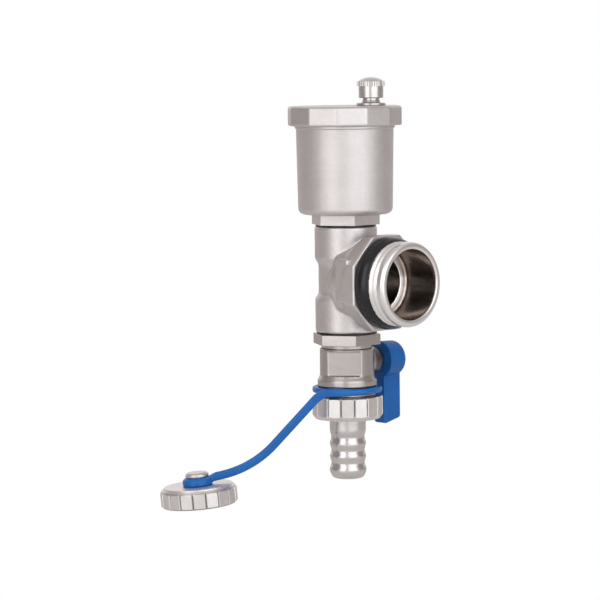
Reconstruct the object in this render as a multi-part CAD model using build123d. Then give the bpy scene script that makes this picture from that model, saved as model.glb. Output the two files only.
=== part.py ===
"""Manifold end set: tee with side branch, float air vent above, drain ball valve below.

Units are millimetres. The shapes are drawn about the vertical run axis, with the branch
along +X and the valve stem along +Y, and are moved at export so that the origin is on the
branch axis at the inner end of the branch thread.
"""
from build123d import *
import math
import os

# General clearances
THREAD_GAP = 0.05        # radial gap between two threads that are screwed together
RUN_GAP = 0.05           # radial gap of a shaft that turns in its bore
SEAL_GAP = 0.03          # gap between a moving face and the seal it runs on
TOUCH_GAP = 0.02         # gap between faces that only just meet

# Branch and tee
RUN_TO_THREAD = 28.5     # run axis to the inner end of the branch thread
BRANCH_THREAD_R = 16.62  # G1 thread, major diameter 33.25
BRANCH_THREAD_DEPTH = 1.47
BRANCH_ROOT_R = BRANCH_THREAD_R - BRANCH_THREAD_DEPTH  # G1 thread, minor diameter 30.3
BRANCH_PITCH = 2.309     # G1 thread, 11 turns an inch
BRANCH_THREAD_L = 7.7
BRANCH_GROOVES = 2       # thread grooves in front of the seal
BRANCH_WALL = 2.92       # thread crest to bore
BRANCH_BORE_R = BRANCH_THREAD_R - BRANCH_WALL
BRANCH_BORE_DEPTH = 16.7
OCT_MARGIN = 1.98        # flat of the spanner part above the thread crest
OCT_AF = 2 * (BRANCH_THREAD_R + OCT_MARGIN)  # eight-sided spanner part of the branch
OCT_BACK = 16.0          # where the flats start, in the middle of each flat
OCT_CONE = 0.61          # rise of the cone behind the flats, radius over length
NECK_STEP = 3.3          # flat of the spanner part above the round neck behind it
NECK_R = OCT_AF / 2 - NECK_STEP
NECK_BACK = 6.4
PAD_BACK = 12.2          # cast pad on both sides of the neck, nearly flush with the flats
PAD_SINK = 0.15
PAD_UP = 10.0
PAD_DOWN = 7.1
OCT_FRONT = 22.7
SEAL_STAND = 1.48        # seal above the thread crest
SEAL_THICK = 3.9         # seal from its groove to its rim
SEAL_R = BRANCH_THREAD_R + SEAL_STAND
SEAL_GROOVE_R = SEAL_R - SEAL_THICK
TEE_OVER = 3.1           # upper end of the tee above the flats of the branch
TEE_UNDER = 1.9          # lower end of the tee below the flats of the branch
TEE_UP = OCT_AF / 2 + TEE_OVER
TEE_DOWN = OCT_AF / 2 + TEE_UNDER
SOCKET_R = 10.48         # G1/2 thread, major diameter 20.95
SOCKET_DEPTH = 11.0
COLLAR_WALL = 1.92       # socket thread to the outside of the tee
COLLAR_R = SOCKET_R + COLLAR_WALL
WAIST_STEP = 1.4         # waist of the run below its collars
WAIST_R = COLLAR_R - WAIST_STEP
WAIST_UP = 6.4           # waist of the run, above and below the branch axis
WAIST_DOWN = 5.0
TEE_BORE_R = 9.0
BRANCH_SEAT_STEP = 1.5   # waterway from the branch into the run, wider than the run's bore
BRANCH_SEAT_R = TEE_BORE_R + BRANCH_SEAT_STEP
WASHER_T = 0.6           # flat gaskets above and below the tee
WASHER_GAP = 0.1         # gasket to the thread that it lies round
WASHER_W = 1.42          # width of the gaskets

# Air vent
NOZZLE_ANGLE = 45.0      # direction of the nozzle from the run axis, in plan
VENT_HEX_WALL = 1.62     # spigot thread to the flats of the hexagon
VENT_HEX_AF = 2 * (SOCKET_R + VENT_HEX_WALL)
VENT_HEX_H = 4.1
POT_H = 34.9
POT_FLOOR_T = 3.0
COVER_H = 7.75
COVER_ROOF = 2.65
POT_BOTTOM = TEE_UP + WASHER_T + VENT_HEX_H
POT_FLOOR = POT_BOTTOM + POT_FLOOR_T
COVER_BOTTOM = POT_BOTTOM + POT_H
COVER_TOP = COVER_BOTTOM + COVER_H
COVER_CEILING = COVER_TOP - COVER_ROOF
COVER_TURN = 7.3
COVER_THREAD_R = 18.2
POT_STEP = 1.1           # pot wall outside the cover thread
POT_DRAFT = 0.6          # pot is narrower at its foot
RIM_WALL = 2.0           # rim of the pot inside the cover thread
COVER_WALL = 4.6         # cover corners outside the cover thread
POT_TOP_R = COVER_THREAD_R + POT_STEP
POT_BOTTOM_R = POT_TOP_R - POT_DRAFT
POT_INNER_R = COVER_THREAD_R - RIM_WALL
COVER_CORNER_R = COVER_THREAD_R + COVER_WALL
COVER_SEAL_T = 0.8
RIM_TOP = COVER_CEILING - COVER_SEAL_T
NOZZLE_STUB_R = 4.0
NOZZLE_DROP = 4.6        # orifice below the ceiling of the cover
NOZZLE_TIP_Z = COVER_CEILING - NOZZLE_DROP
VENT_CAP_LIFT = 2.95     # vent cap above the cover
VENT_CAP_SKIRT = 4.7
VENT_CAP_BOTTOM = COVER_TOP + VENT_CAP_LIFT
VENT_CAP_R = 4.87
VENT_CAP_KNURL_R = 5.55
VENT_CAP_TEETH = 36
KNURL_H = 1.9
DOME_H = 1.6
VENT_CAP_ROOF = 2.8
VENT_CAP_SEAL_T = 0.8
KNURL_BOTTOM = VENT_CAP_BOTTOM + VENT_CAP_SKIRT
KNURL_TOP = KNURL_BOTTOM + KNURL_H
VENT_TOP = KNURL_TOP + DOME_H
VENT_CEILING = VENT_TOP - VENT_CAP_ROOF      # inner ceiling of the vent cap
VENT_THREAD_R = 3.3
NOZZLE_TOP = VENT_CEILING - VENT_CAP_SEAL_T
PIVOT_WALL = 2.7         # arm pivot to the pot wall
PIVOT_DROP = 1.2         # arm pivot below the orifice
PIVOT_N = POT_INNER_R - PIVOT_WALL  # from the run axis along the nozzle direction
PIVOT_Z = NOZZLE_TIP_Z - PIVOT_DROP
PAD_REACH = 3.0          # arm pivot to the nozzle axis
NOZZLE_OFFSET = PIVOT_N - PAD_REACH
ARM_PAST = 2.0           # end of the arm beyond the run axis
ARM_DROP = 15.0          # arm angle below level when the float is down
FLOAT_GAP = 2.2          # float to the pot wall
FLOAT_R = POT_INNER_R - FLOAT_GAP
FLOAT_H = 18.6
FOOT_INSET = 2.4         # feet of the float inside its rim

# Drain valve
VALVE_HEX_WALL = 1.52    # spigot thread to the flats of the hexagon
VALVE_HEX_AF = 2 * (SOCKET_R + VALVE_HEX_WALL)
VALVE_HEX_H = 4.2
VALVE_HEX_END = TEE_DOWN + WASHER_T + VALVE_HEX_H
BODY_DROP = 1.5          # valve body below the hexagon
BODY_TOP = VALVE_HEX_END + BODY_DROP
STEM_DROP = 6.4          # stem axis below the top of the body
STEM_Z = -BODY_TOP - STEM_DROP
BARREL_R = 10.85
FLAT_HALF = 8.5
FLAT_TURN = -52.0
NECK_WALL = 0.62         # strap neck outside the outlet thread
FLANGE_STEP = 0.75       # flange above the strap neck
RING_NECK_R = SOCKET_R + NECK_WALL
FLANGE_R = RING_NECK_R + FLANGE_STEP
BALL_R = 6.0
BALL_BORE_R = 3.9
SEAT_R = 6.3
STEM_R = 2.95
COLLAR_IN = BALL_R + 0.4    # stem collar, along the stem axis
COLLAR_OUT = COLLAR_IN + 1.3
COLLAR_STOP = COLLAR_OUT + 0.45
STUB_R = 7.3
BOSS_END = 15.0
STEM_GROOVES = (9.6, 12.0)  # starts of the two seal grooves along the stem
STUB_CLEAR = 4.1         # end of the inlet stub above the stem axis, clear of the stem collar
LEVER_IN = 17.9
LEVER_OUT = 27.3
LEVER_HUB_R = 7.4
LEVER_HALF_W = 2.9

# Union nut and hose tail
NUT_WALL = 3.67          # outlet thread to the outside of the nut
NUT_R = SOCKET_R + NUT_WALL
NUT_H = 9.0
NUT_LIP_T = 2.2
NUT_DROP = 19.2          # top of the nut below the top of the valve body
OUTLET_INTO_NUT = 4.5
NUT_TOP = BODY_TOP + NUT_DROP
NUT_BOTTOM = NUT_TOP + NUT_H
NUT_LIP = NUT_BOTTOM - NUT_LIP_T
OUTLET_END = NUT_TOP + OUTLET_INTO_NUT
NUT_FLUTES = 16
NUT_TURN = 11.9
TAIL_NECK_R = 7.2
TAIL_BORE_R = 4.4
BARB_R = 7.25
BARB_ROOT_R = 6.45
BARBS = 3
BARB_PITCH = 5.05
TAIL_WASHER_T = 1.0
TAIL_L = 27.6
TAIL_FLANGE = OUTLET_END + TAIL_WASHER_T  # upper face of the hose tail
TAIL_END = TAIL_FLANGE + TAIL_L
TAIL_FLANGE_GAP = 0.58   # flange of the hose tail to the thread of the nut
TAIL_FLANGE_R = SOCKET_R - TAIL_FLANGE_GAP

# Strap and end cap
STRAP_RING_WALL = 2.85   # strap neck to the outside of the ring
STRAP_RING_R = RING_NECK_R + STRAP_RING_WALL
STRAP_RING_DROP = 15.4   # ring below the top of the valve body
STRAP_RING_TOP = BODY_TOP + STRAP_RING_DROP
STRAP_RING_H = 2.4
STRAP_SINK = 1.05        # middle of the strap tail inside the rim of its ring
STRAP_FRONT = STRAP_RING_R - STRAP_SINK  # plane of the strap tail, in front of the run axis
STRAP_H = 3.4
STRAP_T = 3.0
STRAP_BEND_U = 10.2      # bend beside the ring, sideways from the run axis
STRAP_FOOT_U = 21.95     # lower bend, back from the cap axis
STRAP_FOOT_RISE = 6.75   # lower bend, above the cap
STRAP_BEND_R = 9.0
STRAP_FOOT_R = 40.0
CAP_U = 59.4             # cap axis, sideways from the run axis
CAP_HANG = 37.4          # cap below the ring of the strap
CAP_TOP = -STRAP_RING_TOP - CAP_HANG
CAP_TILT = 4.6
CAP_WALL = 4.67          # outlet thread to the outside of the cap
CAP_R = SOCKET_R + CAP_WALL
CAP_ROOF = 1.8
CAP_H = 7.8
CAP_FLUTES = 18
EYE_R = 6.0
EYE_T = 3.3
RIVET_R = 4.6


def lathe(*points):
    """Solid of revolution about Z from (radius, height) corners."""
    outline = Polyline(*[(r, 0, z) for r, z in points], close=True)
    return revolve(make_face(outline), Axis.Z)


def rounded_lathe(points, rounds):
    """Solid of revolution about Z, with some (radius, height) corners rounded."""
    face = make_face(Polyline(*points, close=True))
    for corner, radius in rounds:
        near = face.vertices().sort_by_distance((corner[0], corner[1], 0))[0]
        face = fillet([near], radius)
    return revolve(Rot(90, 0, 0) * face, Axis.Z)


def along_x(shape):
    """Turn a shape drawn along Z so that it runs along +X."""
    return Rot(0, 90, 0) * shape


def along_y(shape):
    """Turn a shape drawn along Z so that it runs along +Y."""
    return Rot(-90, 0, 0) * shape


def disc(radius, low, high):
    """Plain cylinder between two heights."""
    return Pos(0, 0, low) * extrude(Circle(radius), high - low)


def tube(inner, outer, low, high):
    """Plain ring between two heights."""
    return Pos(0, 0, low) * extrude(Circle(outer) - Circle(inner), high - low)


def prism(sides, corner_r, turn, low, high):
    """Upright prism with regular sides, with a corner at the turn angle."""
    sketch = RegularPolygon(radius=corner_r, side_count=sides, rotation=turn)
    return Pos(0, 0, low) * extrude(sketch, high - low)


def block(x0, x1, y0, y1, z0, z1):
    """Box between two corners."""
    centre = Pos((x0 + x1) / 2, (y0 + y1) / 2, (z0 + z1) / 2)
    return centre * Box(x1 - x0, y1 - y0, z1 - z0)


def fluted(radius, root, land, count, turn):
    """Outline of a fluted rim: flat lands with narrow V grooves between them."""
    points = []
    step = 2 * math.pi / count
    half = land / radius / 2
    for k in range(count):
        groove = math.radians(turn) + k * step
        points.append((root * math.cos(groove), root * math.sin(groove)))
        for part in (-half, half):
            a = groove + step / 2 + part
            points.append((radius * math.cos(a), radius * math.sin(a)))
    return make_face(Polyline(*points, close=True))


NOZZLE_DIR = (math.cos(math.radians(NOZZLE_ANGLE)), math.sin(math.radians(NOZZLE_ANGLE)))
AT_NOZZLE = Pos(NOZZLE_OFFSET * NOZZLE_DIR[0], NOZZLE_OFFSET * NOZZLE_DIR[1], 0)
VENT_PLANE = Rot(0, 0, NOZZLE_ANGLE)
AT_STEM = Pos(0, 0, STEM_Z)


def make_pad(end):
    """Cast pad across the neck of the branch; its back follows a flat cone."""
    side = OCT_AF / 2 - PAD_SINK
    pad = block(PAD_BACK, end, -side, side, -PAD_DOWN, PAD_UP)
    pad = fillet(pad.edges().filter_by(Axis.X), 0.6)
    reach = math.hypot(side, PAD_UP)
    back = lathe((0, PAD_BACK), (side, PAD_BACK), (reach + 0.2, PAD_BACK + 1.7), (reach + 0.2, end), (0, end))
    return pad & along_x(back)


def make_tee():
    """Tee with round collars, eight-sided branch, seal groove and ridged branch thread."""
    low = (COLLAR_R, -WAIST_DOWN - 2.0), (WAIST_R, -WAIST_DOWN)
    high = (WAIST_R, WAIST_UP), (COLLAR_R, WAIST_UP + 2.6)
    under = (0, -TEE_DOWN), (COLLAR_R - 0.5, -TEE_DOWN), (COLLAR_R, -TEE_DOWN + 0.5)
    over = (COLLAR_R, TEE_UP - 0.5), (COLLAR_R - 0.5, TEE_UP), (0, TEE_UP)
    run = rounded_lathe([*under, *low, *high, *over], [(corner, 1.8) for corner in low + high])
    neck_foot = WAIST_R + 1.0
    corner = OCT_AF / 2 / math.cos(math.pi / 8)
    spanner = prism(8, corner, 22.5, -1, OCT_FRONT)
    spanner = fillet(spanner.edges().filter_by(Axis.Z), 0.8)
    neck_end = OCT_BACK - NECK_STEP / OCT_CONE
    cone_end = OCT_BACK + (corner + 0.3 - OCT_AF / 2) / OCT_CONE
    neck = (neck_foot, NECK_BACK - NECK_R + neck_foot), (NECK_R, NECK_BACK), (NECK_R, neck_end)
    turned = lathe((0, -1), (WAIST_R - 0.4, -1), *neck, (corner + 0.3, cone_end),
                   (corner + 0.3, OCT_FRONT - 0.6), (corner - 0.3, OCT_FRONT), (0, OCT_FRONT))
    spanner = spanner & turned
    start = RUN_TO_THREAD
    end = start + BRANCH_THREAD_L
    profile = [(0, OCT_FRONT - 1), (SEAL_GROOVE_R, OCT_FRONT - 1), (SEAL_GROOVE_R, start)]
    profile.append((BRANCH_THREAD_R, start))
    flank = (BRANCH_THREAD_R - BRANCH_ROOT_R) * math.tan(math.radians(27.5))
    groove = start + 1.6
    for _ in range(BRANCH_GROOVES):
        profile.append((BRANCH_THREAD_R, groove - flank - 0.12))
        profile.append((BRANCH_ROOT_R, groove - 0.12))
        profile.append((BRANCH_ROOT_R, groove + 0.12))
        profile.append((BRANCH_THREAD_R, groove + flank + 0.12))
        groove += BRANCH_PITCH
    profile += [(BRANCH_THREAD_R, end - 0.9), (BRANCH_THREAD_R - 0.9, end), (0, end)]
    body = run + make_pad(cone_end) + along_x(spanner + lathe(*profile))
    seat = end - BRANCH_BORE_DEPTH
    bore = along_x(lathe((0, 0), (BRANCH_SEAT_R, 0), (BRANCH_SEAT_R, seat), (BRANCH_BORE_R, seat + 0.6),
                         (BRANCH_BORE_R, end - 0.4), (BRANCH_BORE_R + 0.5, end + 0.1), (0, end + 0.1)))
    foot = -TEE_DOWN + SOCKET_DEPTH
    head = TEE_UP - SOCKET_DEPTH
    run_bore = lathe((0, -TEE_DOWN - 0.1), (SOCKET_R, -TEE_DOWN - 0.1), (SOCKET_R, foot), (TEE_BORE_R, foot),
                     (TEE_BORE_R, head), (SOCKET_R, head), (SOCKET_R, TEE_UP + 0.1), (0, TEE_UP + 0.1))
    return body - bore - run_bore


def make_gasket(low):
    """Flat gasket at one end of the run, round the spigot that is screwed in there."""
    inner = SOCKET_R + WASHER_GAP
    return tube(inner, inner + WASHER_W, low, low + WASHER_T)


def make_branch_seal():
    """Rubber ring with sloped shoulders between the branch spanner part and the thread."""
    low = OCT_FRONT + TOUCH_GAP
    high = RUN_TO_THREAD - TOUCH_GAP
    inner = SEAL_GROOVE_R + TOUCH_GAP
    ring = lathe((inner, low), (SEAL_R - 0.5, low), (SEAL_R, low + 0.6), (SEAL_R, high - 2.4),
                 (SEAL_R - 0.6, high - 1.0), (SEAL_R - 1.6, high), (inner, high))
    return along_x(ring)


def make_vent_body():
    """Air vent pot, spanner hexagon and threaded spigot in one piece."""
    spigot_r = SOCKET_R - THREAD_GAP
    low = TEE_UP - SOCKET_DEPTH + 1.0
    top = TEE_UP + WASHER_T
    shoulder = VENT_HEX_AF / 2 - 0.3
    outer = [(0, low), (spigot_r - 0.8, low), (spigot_r, low + 0.8), (spigot_r, top), (shoulder, top),
             (shoulder, POT_BOTTOM), (POT_BOTTOM_R, POT_BOTTOM), (POT_TOP_R, COVER_BOTTOM - 1.2),
             (POT_TOP_R + 0.5, COVER_BOTTOM - 0.9), (POT_TOP_R + 0.5, COVER_BOTTOM - TOUCH_GAP),
             (COVER_THREAD_R - THREAD_GAP, COVER_BOTTOM - TOUCH_GAP),
             (COVER_THREAD_R - THREAD_GAP, RIM_TOP), (0, RIM_TOP)]
    pot = rounded_lathe(outer, [((POT_BOTTOM_R, POT_BOTTOM), 2.5)])
    hexagon = prism(6, VENT_HEX_AF / math.sqrt(3), 30, top, POT_BOTTOM + 0.3)
    inside = lathe((0, low - 0.1), (7.0, low - 0.1), (7.0, POT_FLOOR), (POT_INNER_R - 1.5, POT_FLOOR),
                   (POT_INNER_R, POT_FLOOR + 1.5), (POT_INNER_R, RIM_TOP + 0.1), (0, RIM_TOP + 0.1))
    return pot + hexagon - inside


def make_vent_cover():
    """Twelve-sided screw cover with the nozzle hole and the two lugs of the arm pivot."""
    cover = prism(12, COVER_CORNER_R, COVER_TURN, COVER_BOTTOM, COVER_TOP)
    cover = fillet(cover.edges().filter_by(Axis.Z), 1.5)
    cover = chamfer(cover.faces().sort_by(Axis.Z)[-1].edges(), 0.7)
    cover = chamfer(cover.faces().sort_by(Axis.Z)[0].edges(), 0.4)
    cover = cover - disc(COVER_THREAD_R, COVER_BOTTOM - 1, COVER_CEILING)
    lug = block(PIVOT_N - 1.5, PIVOT_N + 1.3, 4.2, 5.6, PIVOT_Z - 1.7, COVER_CEILING + 0.5)
    lugs = VENT_PLANE * (lug + mirror(lug, Plane.XZ))
    pin_hole = Pos(PIVOT_N, 0, PIVOT_Z) * (Rot(90, 0, 0) * Cylinder(0.8, 20))
    cover = cover + lugs - VENT_PLANE * pin_hole
    return cover - AT_NOZZLE * disc(NOZZLE_STUB_R + THREAD_GAP, COVER_CEILING - 1, COVER_TOP + 1)


def make_cover_seal():
    """Flat ring between the rim of the pot and the cover."""
    return tube(POT_INNER_R + 0.2, COVER_THREAD_R - 0.2, RIM_TOP, COVER_CEILING)


def make_nozzle():
    """Vent nozzle screwed into the cover, with the small orifice at its lower tip."""
    flange = 5.77
    tip = NOZZLE_TIP_Z
    outer = lathe((0.8, tip), (1.5, tip), (1.9, tip + 0.4), (1.9, tip + 1.2), (NOZZLE_STUB_R, tip + 1.2),
                  (NOZZLE_STUB_R, COVER_TOP), (flange, COVER_TOP), (flange, COVER_TOP + 1.0),
                  (3.9, COVER_TOP + 1.1), (VENT_THREAD_R, COVER_TOP + 2.4), (VENT_THREAD_R, NOZZLE_TOP),
                  (1.6, NOZZLE_TOP), (1.6, tip + 2.2), (0.8, tip + 1.4))
    return AT_NOZZLE * outer


def make_vent_cap():
    """Small screw cap of the nozzle with a knurled rim and a domed top."""
    top = KNURL_BOTTOM + 0.2
    body = lathe((0, VENT_CAP_BOTTOM), (VENT_CAP_R - 0.3, VENT_CAP_BOTTOM),
                 (VENT_CAP_R, VENT_CAP_BOTTOM + 0.3), (VENT_CAP_R, top), (0, top))
    teeth = fluted(VENT_CAP_KNURL_R, VENT_CAP_KNURL_R - 0.3, 0.5, VENT_CAP_TEETH, 0)
    knurl = Pos(0, 0, KNURL_BOTTOM) * extrude(teeth, KNURL_TOP - KNURL_BOTTOM)
    edge = (5.1, 0, KNURL_TOP)
    arch = ThreePointArc((0, 0, VENT_TOP), (2.9, 0, VENT_TOP - 0.46), edge)
    under = KNURL_TOP - 0.1
    sides = Polyline(edge, (5.1, 0, under), (0, 0, under), (0, 0, VENT_TOP))
    dome = revolve(make_face([arch, sides]), Axis.Z)
    hollow = lathe((0, VENT_CAP_BOTTOM - 0.1), (VENT_THREAD_R + THREAD_GAP, VENT_CAP_BOTTOM - 0.1),
                   (VENT_THREAD_R + THREAD_GAP, VENT_CEILING), (0, VENT_CEILING))
    return AT_NOZZLE * (body + knurl + dome - hollow)


def make_vent_cap_seal():
    """Rubber disc in the ceiling of the vent cap."""
    return AT_NOZZLE * disc(VENT_THREAD_R, NOZZLE_TOP + TOUCH_GAP, VENT_CEILING - TOUCH_GAP)


def at_arm(shape):
    """Place a piece of the arm, drawn level, at the angle it has with the float down."""
    pivot = Pos(PIVOT_N, 0, PIVOT_Z)
    return VENT_PLANE * (pivot * (Rot(0, -ARM_DROP, 0) * shape))


def make_float_arm():
    """Flat lever with a round hub on the pivot pin and a seat for the pad."""
    strip = block(-PIVOT_N - ARM_PAST, 0, -2.7, 2.7, -0.7, 0.7)
    hub = Rot(90, 0, 0) * Cylinder(1.5, 8.1)
    hole = Rot(90, 0, 0) * Cylinder(0.78 + RUN_GAP, 20)
    seat = Pos(NOZZLE_OFFSET - PIVOT_N, 0, 0) * disc(1.9, 0.2, 3)
    return at_arm(strip + hub - hole - seat)


def make_arm_pad():
    """Rubber pad that closes the orifice when the float lifts the arm."""
    top = NOZZLE_TIP_Z - PIVOT_Z - SEAL_GAP
    return at_arm(Pos(NOZZLE_OFFSET - PIVOT_N, 0, 0) * disc(1.88, 0.2, top))


def make_arm_pin():
    """Pivot pin pressed through the two lugs of the cover."""
    return VENT_PLANE * (Pos(PIVOT_N, 0, PIVOT_Z) * (Rot(90, 0, 0) * Cylinder(0.78, 11.0)))


def make_float():
    """Plastic float with three feet and a slotted post that holds the end of the arm."""
    top = POT_FLOOR + FLOAT_H
    arm_z = PIVOT_Z - PIVOT_N * math.sin(math.radians(ARM_DROP))
    body = disc(FLOAT_R, POT_FLOOR + 1.6, top)
    post = block(-1.5, 1.5, -4.8, 4.8, top - 0.5, arm_z + 2.7)
    window = block(-3, 3, -3.4, 3.4, arm_z - 1.4, arm_z + 1.7)
    shape = body + post - window
    rim = FLOAT_R - FOOT_INSET
    foot = block(rim - 2.0, rim, -1, 1, POT_FLOOR + TOUCH_GAP, POT_FLOOR + 2.0)
    for angle in (30, 150, 270):
        shape = shape + Rot(0, 0, angle) * foot
    return VENT_PLANE * shape


def make_valve_inlet():
    """Valve end piece: spigot in the tee, spanner hexagon and stub that holds the upper seat."""
    spigot_r = SOCKET_R - THREAD_GAP
    high = -TEE_DOWN + SOCKET_DEPTH - 1.0
    top = -(TEE_DOWN + WASHER_T)
    shoulder = VALVE_HEX_AF / 2 - 0.5
    collar = BARREL_R - 0.75
    pocket = STEM_Z + 5.2
    stub_end = STEM_Z + STUB_CLEAR
    outer = lathe((4.0, high), (spigot_r - 0.8, high), (spigot_r, high - 0.8), (spigot_r, top),
                  (shoulder, top),
                  (shoulder, -VALVE_HEX_END), (collar, -VALVE_HEX_END), (collar, -BODY_TOP + TOUCH_GAP),
                  (STUB_R, -BODY_TOP + TOUCH_GAP), (STUB_R, stub_end), (SEAT_R + THREAD_GAP, stub_end),
                  (SEAT_R + THREAD_GAP, pocket), (4.0, pocket))
    hexagon = prism(6, VALVE_HEX_AF / math.sqrt(3), 30, -VALVE_HEX_END, top)
    return outer + (hexagon - disc(shoulder - 0.5, -VALVE_HEX_END - 1, top + 1))


def make_valve_body():
    """Valve barrel with two spanner flats, stem boss, strap neck and threaded outlet."""
    thread_r = SOCKET_R - THREAD_GAP
    stop = RING_NECK_R + 0.4
    neck_top = -STRAP_RING_TOP + 0.1
    neck_end = -STRAP_RING_TOP - STRAP_RING_H - 0.15
    barrel = lathe((0, -BODY_TOP), (BARREL_R - 0.3, -BODY_TOP), (BARREL_R, -BODY_TOP - 0.3),
                   (BARREL_R, STEM_Z - 4.5), (FLANGE_R, STEM_Z - 6.3), (FLANGE_R, neck_top + 0.2),
                   (RING_NECK_R, neck_top), (RING_NECK_R, neck_end), (stop, neck_end), (stop, -NUT_TOP + 0.5),
                   (thread_r, -NUT_TOP + 0.5), (thread_r, -OUTLET_END + 0.6), (thread_r - 0.6, -OUTLET_END),
                   (0, -OUTLET_END))
    side = block(FLAT_HALF, 20, -20, 20, STEM_Z - 4.2, -BODY_TOP - 0.8)
    for turn in (FLAT_TURN, FLAT_TURN + 180):
        barrel = barrel - Rot(0, 0, turn) * side
    boss = AT_STEM * along_y(lathe((0, 3), (6.0, 3), (6.0, 10.0), (5.4, 12.0), (5.4, BOSS_END - 0.4),
                                   (5.0, BOSS_END), (0, BOSS_END)))
    body = barrel + boss
    stub_end = STEM_Z + STUB_CLEAR
    wide = STUB_R + THREAD_GAP
    inside = lathe((0, -BODY_TOP + 1), (wide, -BODY_TOP + 1), (wide, stub_end - 0.1),
                   (SEAT_R + THREAD_GAP, stub_end - 0.1), (SEAT_R + THREAD_GAP, STEM_Z - 5.2),
                   (4.0, STEM_Z - 5.2), (4.0, -OUTLET_END - 1), (0, -OUTLET_END - 1))
    stem_bore = AT_STEM * along_y(lathe((0, 0), (4.1, 0), (4.1, COLLAR_STOP), (STEM_R + RUN_GAP, COLLAR_STOP),
                                        (STEM_R + RUN_GAP, 18), (0, 18)))
    return body - inside - stem_bore


def make_seat(up):
    """Seat ring of the ball; its cone lies just clear of the ball."""
    lean = math.radians(48)
    reach = BALL_R + SEAL_GAP
    touch_r = reach * math.cos(lean)
    touch_z = reach * math.sin(lean)
    inner_z = touch_z + (touch_r - 3.95) * math.tan(math.radians(42))
    outer_z = touch_z - (SEAT_R - touch_r) * math.tan(math.radians(42))
    ring = lathe((3.95, 5.2 - TOUCH_GAP), (3.95, inner_z), (SEAT_R, outer_z), (SEAT_R, 5.2 - TOUCH_GAP))
    if not up:
        ring = mirror(ring, Plane.XY)
    return AT_STEM * ring


def make_ball():
    """Ball with its waterway, and the slot for the tang of the stem."""
    ball = Sphere(BALL_R) - Cylinder(BALL_BORE_R, 20)
    ball = ball - block(-8, 8, 4.5, 8, -1.3, 1.3)
    return AT_STEM * ball


def make_stem():
    """Valve stem with tang, inner collar, two seal grooves, square end and screw hole."""
    tang = block(-2.0, 2.0, -1.25, 1.25, 4.55, COLLAR_IN + 0.2)
    profile = [(0, COLLAR_IN), (3.95, COLLAR_IN), (3.95, COLLAR_OUT), (STEM_R, COLLAR_OUT)]
    for start in STEM_GROOVES:
        profile += [(STEM_R, start), (2.2, start), (2.2, start + 1.5), (STEM_R, start + 1.5)]
    shaft = lathe(*profile, (STEM_R, 17.4), (0, 17.4))
    square = block(-2.05, 2.05, -2.05, 2.05, 17.0, 22.4)
    hole = disc(1.45, 15.5, 23)
    return AT_STEM * along_y(tang + shaft + square - hole)


def make_stem_seal(start):
    """Seal ring in one groove of the stem."""
    outer = STEM_R + RUN_GAP - SEAL_GAP
    return AT_STEM * along_y(tube(2.2, outer, start + TOUCH_GAP, start + 1.5 - TOUCH_GAP))


def make_stem_washer():
    """Low-friction washer between the collar of the stem and the body."""
    return AT_STEM * along_y(tube(STEM_R + TOUCH_GAP, 3.95, COLLAR_OUT, COLLAR_STOP - 0.05))


def make_lever():
    """Lever moulded in one piece: round hub on the stem and a flat blade that hangs down."""
    rim = (LEVER_HUB_R - 0.4, LEVER_OUT)
    hub = rounded_lathe([(0, LEVER_IN), (LEVER_HUB_R, LEVER_IN), rim, (0, LEVER_OUT)], [(rim, 1.8)])
    corners = (LEVER_IN, 0), (LEVER_OUT, 0), (LEVER_OUT, -24.0), (LEVER_IN, -26.2)
    outline = make_face(Polyline(*corners, close=True))
    outline = fillet(outline.vertices().sort_by(Axis.Y)[0:2], 1.2)
    blade = extrude(outline, LEVER_HALF_W, both=True)
    blade = Rot(0, 90, 0) * (Rot(0, 0, 90) * blade)
    lever = along_y(hub) + blade
    hole = block(-2.07, 2.07, LEVER_IN - 1, 22.5, -2.07, 2.07)
    recess = along_y(disc(3.4, 22.5, LEVER_OUT + 1))
    return AT_STEM * (lever - hole - recess)


def make_lever_screw():
    """Pan screw that holds the lever on the stem, with a straight driver slot."""
    screw = lathe((0, 16.0), (1.4, 16.0), (1.4, 22.5), (3.1, 22.5), (3.1, 24.0), (2.5, 24.6), (0, 24.6))
    slot = block(-4, 4, -0.4, 0.4, 23.8, 25)
    return AT_STEM * along_y(screw - slot)


def make_union_nut():
    """Fluted union nut with an inner thread and a lip that carries the hose tail."""
    height = NUT_BOTTOM - NUT_TOP
    hole = TAIL_NECK_R + 0.5
    flutes = fluted(NUT_R + 0.05, NUT_R - 0.7, 4.6, NUT_FLUTES, NUT_TURN)
    rim = Pos(0, 0, -NUT_BOTTOM) * extrude(flutes, height)
    shape = lathe((0, -NUT_BOTTOM), (NUT_R - 1.25, -NUT_BOTTOM), (NUT_R + 0.1, -NUT_BOTTOM + 1.8),
                  (NUT_R + 0.1, -NUT_TOP - 0.5), (NUT_R - 0.4, -NUT_TOP), (0, -NUT_TOP))
    inside = lathe((0, -NUT_TOP + 1), (SOCKET_R, -NUT_TOP + 1), (SOCKET_R, -NUT_LIP), (hole, -NUT_LIP),
                   (hole, -NUT_BOTTOM - 1), (0, -NUT_BOTTOM - 1))
    return (rim & shape) - inside


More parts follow.
